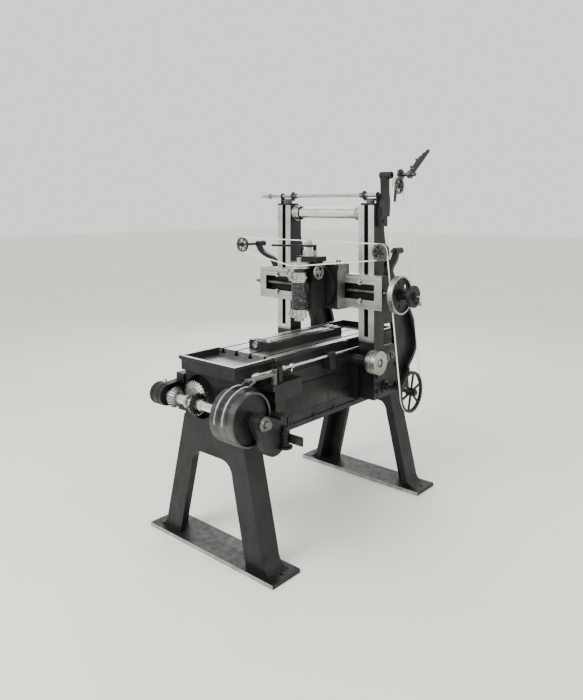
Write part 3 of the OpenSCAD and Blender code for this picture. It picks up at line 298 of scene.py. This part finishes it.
drive_c = middle("cross_shaft")
paint("bevel_gear", "steel", [("black", toothed(middle("bevel_gear"), 0))])
paint("forward_pinion", "steel", [("black", toothed(drive_c, 1))])
# painted shade: the reverse gear stands in shadow, so its teeth are drawn black and its other faces beyond
# the sleeve dark enamel; only the sleeve keeps the bright steel
paint("reverse_sleeve", "bright", [
    ("black", toothed(drive_c, 1)),
    ("enamel", lambda n, c: off_axis(c, drive_c, 1) > 0.028)])
paint("cross_shaft", "bright", [("steel_dark", lambda n, c: c.y < -0.40)])
for name in ("left_lift_screw", "right_lift_screw"):
    paint(name, "steel", [("black", toothed(middle(name), 2)),
                          ("steel_dark", lambda n, c: c.z > post_high.z)])
shaft_c = middle("lift_shaft")
paint("lift_shaft", "steel", [
    ("black", toothed(shaft_c, 1)),
    ("steel_dark", lambda n, c: off_axis(c, shaft_c, 1) > 0.0125 and c.y < 0.35)])
disc_c = middle("rail_screw")
paint("feed_disc", "enamel", [
    ("steel", round_faces(disc_c, 1, 0.09)), ("bright", lambda n, c: c.y < -0.618),
    ("steel", lambda n, c: abs(n.y) > 0.9 and off_axis(c, disc_c, 1) > 0.085)])
for name in ("forward_pulley", "loose_pulley", "reverse_pulley"):
    paint(name, "pulley", [("enamel", lambda n, c: off_axis(c, drive_c, 1) < 0.105)])
paint("feed_drum", "steel", [("steel_dark", lambda n, c: c.y > -0.36)])
paint("lower_wheel", "enamel")
paint("belt_fork", "steel_dark", [("steel", lambda n, c: c.x < drive_c.x + 0.02)])
paint("rail_bolts", "enamel", [("bright", lambda n, c: n.x < -0.9)])
paint("tension_lever", "enamel", [("steel_dark", lambda n, c: off_axis(c, LEVER_PIVOT, 1) < 0.036)])
paint("clamp_collars", "collar")
paint("spindle_pulley", "collar")
paint("head_screw", "collar")
for name in ("left_idler", "front_idler", "rear_idler", "top_idler"):
    paint(name, "steel_dark")
for name in ("front_leg", "rear_leg"):
    sole_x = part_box(name)[0].x
    paint(name, "enamel", [("steel", lambda n, c: n.x < -0.9 and c.z < 0.018 and c.x < sole_x + 0.002)])

# ---------------------------------------------------------------- making pieces


def publish(name, bm, look, body, angle=35):
    mesh = bpy.data.meshes.new(name)
    bmesh.ops.recalc_face_normals(bm, faces=bm.faces)
    bm.to_mesh(mesh)
    bm.free()
    mesh.polygons.foreach_set("use_smooth", [True] * len(mesh.polygons))
    mesh.set_sharp_from_angle(angle=math.radians(angle))
    obj = bpy.data.objects.new(name, mesh)
    bpy.context.scene.collection.objects.link(obj)
    mesh.materials.append(MAT[look])
    if body:
        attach(obj, body)
    return obj


def pose(at, along, turn=0.0):
    """The matrix that puts +Z along a direction at a place."""
    spin = Vector(along).to_track_quat("Z", "Y").to_matrix().to_4x4()
    return Matrix.Translation(at) @ spin @ Matrix.Rotation(turn, 4, "Z")


def lathe(bm, profile, matrix, sides=32):
    """Turns (radius, height) points about the matrix's Z axis; a radius of 0 closes an end."""
    rings = []
    for radius, height in profile:
        if radius <= 0:
            rings.append([bm.verts.new(matrix @ Vector((0, 0, height)))])
        else:
            rings.append([bm.verts.new(matrix @ Vector((
                radius * math.cos(math.tau * k / sides), radius * math.sin(math.tau * k / sides), height)))
                for k in range(sides)])
    for low, high in zip(rings, rings[1:]):
        for k in range(sides):
            corners = [low[k % len(low)], low[(k + 1) % len(low)],
                       high[(k + 1) % len(high)], high[k % len(high)]]
            corners = [v for i, v in enumerate(corners) if v not in corners[:i]]
            if len(corners) > 2:
                bm.faces.new(corners)


def block(bm, low, high, matrix=None, bevel=0.0015):
    """A box with bevelled edges."""
    size = Vector(high) - Vector(low)
    made = bmesh.ops.create_cube(bm, size=1.0)
    centre = (Vector(high) + Vector(low)) / 2
    shape = (matrix or Matrix()) @ Matrix.Translation(centre) @ Matrix.Diagonal((*size, 1))
    bmesh.ops.transform(bm, matrix=shape, verts=made["verts"])
    if bevel:
        edges = {e for v in made["verts"] for e in v.link_edges}
        bmesh.ops.bevel(bm, geom=list(edges), offset=bevel, segments=2, profile=0.5, affect="EDGES")


def tube(bm, points, radius, sides=12, strands=0, pitch=0.02):
    """A round cord through points; strands twist round it with a pitch."""
    points = [Vector(p) for p in points]
    normal = None
    rings, walked = [], 0.0
    for i, point in enumerate(points):
        ahead = (points[min(i + 1, len(points) - 1)] - points[max(i - 1, 0)]).normalized()
        if normal is None:
            normal = ahead.orthogonal()
        normal = (normal - ahead * normal.dot(ahead)).normalized()
        side = ahead.cross(normal)
        if i:
            walked += (point - points[i - 1]).length
        ring = []
        for k in range(sides):
            angle = math.tau * k / sides
            r = radius
            if strands:
                r *= 1 + 0.10 * (abs(math.sin(strands / 2 * (angle - math.tau * walked / pitch))) - 0.7)
            ring.append(bm.verts.new(point + r * (math.cos(angle) * normal + math.sin(angle) * side)))
        rings.append(ring)
    for low, high in zip(rings, rings[1:]):
        for k in range(sides):
            bm.faces.new((low[k], low[(k + 1) % sides], high[(k + 1) % sides], high[k]))
    bm.faces.new(list(reversed(rings[0])))
    bm.faces.new(rings[-1])


def arc(centre, radius, u, v, start, end, count):
    """Points on a circle in the plane of u and v, between two angles in degrees."""
    centre, u, v = Vector(centre), Vector(u), Vector(v)
    angles = [math.radians(start + (end - start) * i / count) for i in range(count + 1)]
    return [centre + radius * (math.cos(a) * u + math.sin(a) * v) for a in angles]


def resample(points, step):
    """The same path with a point about every step."""
    out = [Vector(points[0])]
    for a, b in zip(points, points[1:]):
        a, b = Vector(a), Vector(b)
        n = max(1, round((b - a).length / step))
        out += [a.lerp(b, k / n) for k in range(1, n + 1)]
    return out


# ---------------------------------------------------------------- the belt

BELT_R = 0.0033
IDLER_R = 0.042
WHEEL_R = 0.101
SPIN_R = 0.054
RUN_OUT = 0.022  # how far along the rail a run leaves the bottom of an idler
STRAND_STEP, STRAND_PITCH = 0.0022, 0.021
left_c, front_c, rear_c = middle("left_idler"), middle("front_idler"), middle("rear_idler")
top_c, wheel_c, spin_c = middle("top_idler"), middle("lower_wheel"), middle("spindle_pulley")


def touch(centre, radius, point, side, a, b):
    """Angle at which a line from point touches a circle, in the plane of axes a and b."""
    dx, dy = centre[a] - point[a], centre[b] - point[b]
    return math.degrees(math.atan2(dy, dx) + side * (math.asin(radius / math.hypot(dx, dy)) + math.pi / 2))


front_leave = front_c - IDLER_R * Y
rear_enter = rear_c - IDLER_R * Y
wheel_a0 = touch(wheel_c, WHEEL_R, front_leave, -1, 0, 2)
top_a1 = touch(top_c, IDLER_R, rear_enter, 1, 0, 2) % 360
rise = top_c - wheel_c
back_a = math.degrees(math.atan2(rise.z, rise.x) - math.pi / 2
                      + math.asin((WHEEL_R - IDLER_R) / math.hypot(rise.x, rise.z)))
under = arc(wheel_c, WHEEL_R, X, Z, wheel_a0, back_a, 60)
over = arc(top_c, IDLER_R, X, Z, back_a, top_a1, 36)
rear_low = rear_c - IDLER_R * Z + RUN_OUT * Y
left_low = left_c - IDLER_R * Z - RUN_OUT * Y
spin_a0 = touch(spin_c, SPIN_R, rear_low, 1, 0, 1)
spin_a1 = touch(spin_c, SPIN_R, left_low, -1, 0, 1) % 360
round_spin = arc(spin_c, SPIN_R, X, Y, spin_a0, spin_a1, 20)


def belt(name, points, body, node=None):
    bm = bmesh.new()
    tube(bm, resample(points, STRAND_STEP), BELT_R, 12, 3, STRAND_PITCH)
    obj = publish(name, bm, "cord", body, 80)
    if node:
        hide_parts(node)
    return obj


belt("belt_over", arc(left_c, IDLER_R, -Z, Y, 0, 180, 36) + arc(front_c, IDLER_R, Z, -Y, 0, 90, 20),
     "rail", "belt_top")
belt("belt_under", under, "frame", "belt_wheel")
belt("belt_crown", over, "tension", "belt_cap")
run = belt("belt_upright_front", [under[0], front_leave], None, "belt_front")
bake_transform(run)
run = belt("belt_upright_back", [under[-1], over[0]], None, "belt_back")
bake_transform(run)
run = belt("belt_upright_feed", [over[-1], rear_enter], None, "belt_feed")
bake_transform(run)
turn = arc(rear_c, IDLER_R, -Y, -Z, 0, 90, 20)
run = belt("belt_cross_near", turn + [rear_low, round_spin[0]], None, "belt_head")
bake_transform(run)
belt("belt_round_spindle", round_spin, "head")
run = belt("belt_cross_far", [round_spin[-1], left_low, left_low + RUN_OUT * Y], None)
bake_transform(run)

# ---------------------------------------------------------------- details


def turned(name, profile, at, along, look, body, sides=32):
    bm = bmesh.new()
    lathe(bm, profile, pose(at, along), sides)
    return publish(name, bm, look, body)


def hex_bolts(name, places, along, size, body, look):
    """Bolt heads with chamfered corners, each on a washer."""
    bm = bmesh.new()
    for k, at in enumerate(places):
        spot = pose(at, along, 0.4 * k)
        lathe(bm, [(0, 0), (size * 1.35, 0), (size * 1.35, size * 0.14), (0, size * 0.14)], spot, 24)
        lathe(bm, [(0, size * 0.12), (size, size * 0.12), (size, size * 0.72), (size * 0.86, size * 0.84),
                   (0, size * 0.84)], spot, 6)
    return publish(name, bm, look, body, 25)


# the rail's clamping bolts: a black ring let into the face, a domed head with a screwdriver slot
low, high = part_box("rail_bolts")
spots = [Vector((rail_low.x - 0.0002, sy * (high.y - 0.0155), z))
         for sy in (-1, 1) for z in (low.z + 0.0155, high.z - 0.0155)]
bm = bmesh.new()
for at in spots:
    lathe(bm, [(0.0105, 0), (0.0165, 0), (0.0165, 0.0012), (0.0105, 0.0012)], pose(at, -X), 32)
publish("rail_bolt_rings", bm, "black", "rail")

# the brace tube's flared ends
low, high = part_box("brace_tube")
tube_c = (low + high) / 2
for s in (-1, 1):
    turned("brace_flare_%s" % ("right" if s < 0 else "left"),
           [(0.0385, 0.0005), (0.046, 0.0005), (0.046, 0.012), (0.0405, 0.016), (0.0395, 0.026),
            (0.0385, 0.040), (0.0383, 0.042)],
           (tube_c.x, s * high.y, tube_c.z), (0, -s, 0), "steel", "frame")

# oil cups on the elevating shaft's bearings and on the drive bearings


def oil_cup(name, at, size):
    profile = [(0, 0), (0.004, 0), (0.004, 0.005), (0.0065, 0.007), (0.0065, 0.016), (0.0058, 0.018),
               (0, 0.0185)]
    return turned(name, [(r * size, h * size) for r, h in profile], at, Z, "bright", "frame",
                  20)


oil_cup("oil_cup_top_left", (shaft_c.x, 0.337, shaft_c.z + 0.0165), 0.55)
oil_cup("oil_cup_gear_end", (drive_c.x, 0.24, drive_c.z + 0.0495), 1.3)

# ribs round the far bearing of the drive shaft
barrel_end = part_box("gear_end_bearing")[1].y
bm = bmesh.new()
for y in (barrel_end - 0.012, barrel_end - 0.052):
    lathe(bm, [(0.0500, -0.006), (0.0525, -0.005), (0.0525, 0.005), (0.0500, 0.006)],
          pose((drive_c.x, y, drive_c.z), Y), 48)
publish("bearing_ribs", bm, "enamel", "frame")

# the ring of a split clamp on the reversing sleeve; its bolt is not made
sleeve_y = 0.062
bm = bmesh.new()
lathe(bm, [(0.0265, -0.008), (0.0315, -0.007), (0.0315, 0.007), (0.0265, 0.008)],
      pose((drive_c.x, sleeve_y, drive_c.z), Y), 40)
publish("sleeve_clamp", bm, "steel", "drive_shaft")

# the nut and rings at the shaft's outer end
hub_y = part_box("cross_shaft")[0].y
turned("outboard_rings", [(0.0175, -0.006), (0.030, -0.006), (0.030, -0.002), (0.027, 0), (0.0245, 0.004),
                          (0.0245, 0.006), (0.020, 0.008), (0.0175, 0.008)],
       (drive_c.x, hub_y + 0.022, drive_c.z), -Y, "steel_dark", "drive_shaft", 40)

# the upright stud with its flange and hand bar beside the outboard bracket
stud = Vector((-0.568, -0.392, 0.556))
turned("lever_stud", [(0, 0), (0.030, 0), (0.033, 0.004), (0.033, 0.010), (0.021, 0.014), (0.017, 0.022),
                      (0.017, 0.058), (0.021, 0.062), (0.021, 0.074), (0.012, 0.080), (0.012, 0.092),
                      (0, 0.094)],
       stud, Z, "enamel", "frame", 36)
bm = bmesh.new()
block(bm, stud + Vector((0.010, -0.088, 0.022)), stud + Vector((0.018, 0.030, 0.062)), None, 0.002)
publish("lever_bar", bm, "enamel", "frame")

# screws on the collars that hold the spindle's barrel
low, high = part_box("clamp_collars")
barrel_axis = Vector((spindle_c.x, spindle_c.y, 0))
spots = []
for z in (low.z + 0.020, high.z - 0.025):
    for angle in (198, 262):
        ray = Vector((math.cos(math.radians(angle)), math.sin(math.radians(angle)), 0))
        spots.append((barrel_axis + z * Z + 0.0455 * ray, ray))
bm = bmesh.new()
for at, ray in spots:
    spot = pose(at, ray)
    lathe(bm, [(0, 0), (0.0085, 0), (0.0085, 0.007), (0.0070, 0.009), (0, 0.009)], spot, 24)
    block(bm, (-0.0085, -0.001, 0.0088), (0.0085, 0.001, 0.0095), spot, 0)
publish("collar_screws", bm, "steel", "head")

# a knurled knob on the barrel's left, and a finial on the feed screw
bm = bmesh.new()
knob = pose((-0.128, -0.035, 1.262), (-0.75, 0.66, 0), 0)
lathe(bm, [(0, 0), (0.005, 0), (0.005, 0.012), (0.016, 0.013), (0.018, 0.015), (0.018, 0.024), (0.016, 0.026),
           (0.007, 0.027), (0.006, 0.030), (0, 0.030)], knob, 28)
publish("barrel_knob", bm, "steel", "head")
low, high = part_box("head_screw")
turned("feed_finial", [(0, 0), (0.009, 0), (0.009, 0.006), (0.004, 0.010), (0.003, 0.022), (0.006, 0.026),
                       (0.0065, 0.031), (0.004, 0.036), (0, 0.037)],
       ((low.x + high.x) / 2, (low.y + high.y) / 2, high.z - 0.0005), Z, "bright", "head_screw",
       24)

# bolts: the near housing's foot, the tension bracket, the bed's side
hex_bolts("housing_bolts",
          [(x, -0.3402, z) for x, z in ((0.215, 0.70), (0.215, 0.62), (0.42, 0.62), (0.52, 0.68))],
          -Y, 0.011, "frame", "enamel")
plate_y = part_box("tension_bracket")[0].y + 0.0397
hex_bolts("tension_bolts", [(0.235, plate_y, 1.515), (0.255, plate_y, 1.56)], -Y, 0.008, "frame", "enamel")
hex_bolts("bed_bolts", [(x, -0.1853, 0.545) for x in (-0.30, -0.12, 0.04)], -Y, 0.009, "frame", "enamel")

# the fixture on the table: clamp bolts at the near end, a stop at the far end
low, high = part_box("vise_body")
hex_bolts("fixture_bolts", [(low.x + 0.022, low.y + 0.022, high.z), (low.x + 0.022, high.y - 0.022, high.z),
                            (high.x - 0.025, low.y + 0.050, high.z - 0.002)], Z, 0.0095, "table", "bright")
bm = bmesh.new()
stop_half, stop_h = Vector((0.020, 0.018, 0)), 0.030
stops = [Vector((high.x + 0.026, y, table_high.z)) for y in (-0.032, 0.024)]
for at in stops:
    block(bm, at - stop_half, at + stop_half + stop_h * Z, None, 0.003)
publish("table_stops", bm, "enamel", "table")
hex_bolts("stop_bolts", [at + stop_h * Z for at in stops], Z, 0.009, "table", "bright")

# small gears on pins beside the feed drum
bm = bmesh.new()
teeth = 18
for at, r in ((Vector((0.272, -0.352, 0.790)), 0.022), (Vector((0.325, -0.352, 0.800)), 0.016)):
    spot = pose(at, -Y)
    lathe(bm, [(0, -0.012), (0.006, -0.012), (0.006, 0), (r, 0), (r, 0.014), (0.008, 0.014), (0.008, 0.020),
               (0, 0.020)], spot, 32)
    for k in range(teeth):
        turn = Matrix.Rotation(math.tau * k / teeth, 4, "Z")
        block(bm, (r - 0.001, -0.0018, 0.001), (r + 0.003, 0.0018, 0.013), spot @ turn, 0)
publish("feed_pinions", bm, "steel_dark", "frame")

# a latch rod with its two clips along the belt-tension lever
low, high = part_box("tension_lever")
lever_y = low.y + 0.072
way = (Vector((high.x, 0, high.z)) - LEVER_PIVOT).normalized()
across = way.cross(Y).normalized()
if across.z < 0:
    across = -across
bm = bmesh.new()
start = LEVER_PIVOT + way * 0.055 + across * -0.017 + Y * lever_y
end = LEVER_PIVOT + way * 0.190 + across * -0.013 + Y * lever_y
tube(bm, [start, start.lerp(end, 0.5), end, end + way * 0.018 - across * 0.006], 0.0032, 10)
for t in (0.25, 0.75):
    at = start.lerp(end, t)
    block(bm, (-0.005, -0.004, -0.002), (0.005, 0.004, 0.012), pose(at, across), 0.001)
publish("lever_latch", bm, "steel_dark", "tension")

# screws in the collars of the shifter rod
low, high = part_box("shifter_rod")
rod_y, rod_z = (low.y + high.y) / 2, high.z - 0.013
bm = bmesh.new()
for x in (low.x + 0.023, low.x + 0.206, low.x + 0.265):
    lathe(bm, [(0, 0), (0.004, 0), (0.004, 0.003), (0.0025, 0.004), (0, 0.004)],
          pose((x, rod_y - 0.0128, rod_z), -Y), 16)
publish("rod_collars", bm, "steel", "shifter_rod")

# the blank raised panel on the bed's side
bm = bmesh.new()
block(bm, (-0.36, -0.1895, 0.590), (0.07, -0.1852, 0.725), None, 0.0035)
publish("bed_panel", bm, "enamel", "frame")

# ---------------------------------------------------------------- stage, light, camera

floor_mesh = bpy.data.meshes.new("floor")
bm = bmesh.new()
bmesh.ops.create_grid(bm, x_segments=1, y_segments=1, size=30)
bm.to_mesh(floor_mesh)
bm.free()
floor = bpy.data.objects.new("floor", floor_mesh)
bpy.context.scene.collection.objects.link(floor)
mat, tree, bsdf = new_material("paper")
soft = mapped_noise(tree, 1.5)
tree.links.new(ramp(tree, soft, [(0.3, (0.86, 0.85, 0.79)), (0.7, (0.89, 0.88, 0.82))]),
               bsdf.inputs["Base Color"])
bsdf.inputs["Roughness"].default_value = 0.9
floor.data.materials.append(mat)

world = bpy.data.worlds.new("studio")
bpy.context.scene.world = world
world.use_nodes = True
background = world.node_tree.nodes["Background"]
background.inputs[0].default_value = (0.93, 0.92, 0.86, 1)
background.inputs[1].default_value = 1.35


def area_light(name, place, target, size, power):
    lamp = bpy.data.lights.new(name, "AREA")
    lamp.size = size
    lamp.energy = power
    lamp.color = (1, 1, 0.97)
    obj = bpy.data.objects.new(name, lamp)
    obj.location = place
    obj.rotation_euler = (Vector(target) - Vector(place)).to_track_quat("-Z", "Y").to_euler()
    bpy.context.scene.collection.objects.link(obj)


area_light("key", (-3.4, 0.4, 3.4), (0, 0, 0.9), 2.0, 170)
area_light("side", (0.8, -4.2, 2.6), (0, -0.2, 0.9), 2.2, 60)
area_light("back", (3.2, 3.0, 3.2), (0, 0, 1.0), 2.5, 70)

HEADING = 41.402  # degrees from +X towards +Y
camera_data = bpy.data.cameras.new("camera")
camera_data.sensor_fit = "AUTO"
camera_data.sensor_width = 36
camera_data.lens = 33.52
camera_data.shift_x = 0.0021
camera_data.shift_y = -0.207
camera = bpy.data.objects.new("camera", camera_data)
camera.location = (-2.655, -2.2596, 1.6)
camera.rotation_euler = (math.radians(90), 0, math.radians(HEADING - 90))
bpy.context.scene.collection.objects.link(camera)
bpy.context.scene.camera = camera
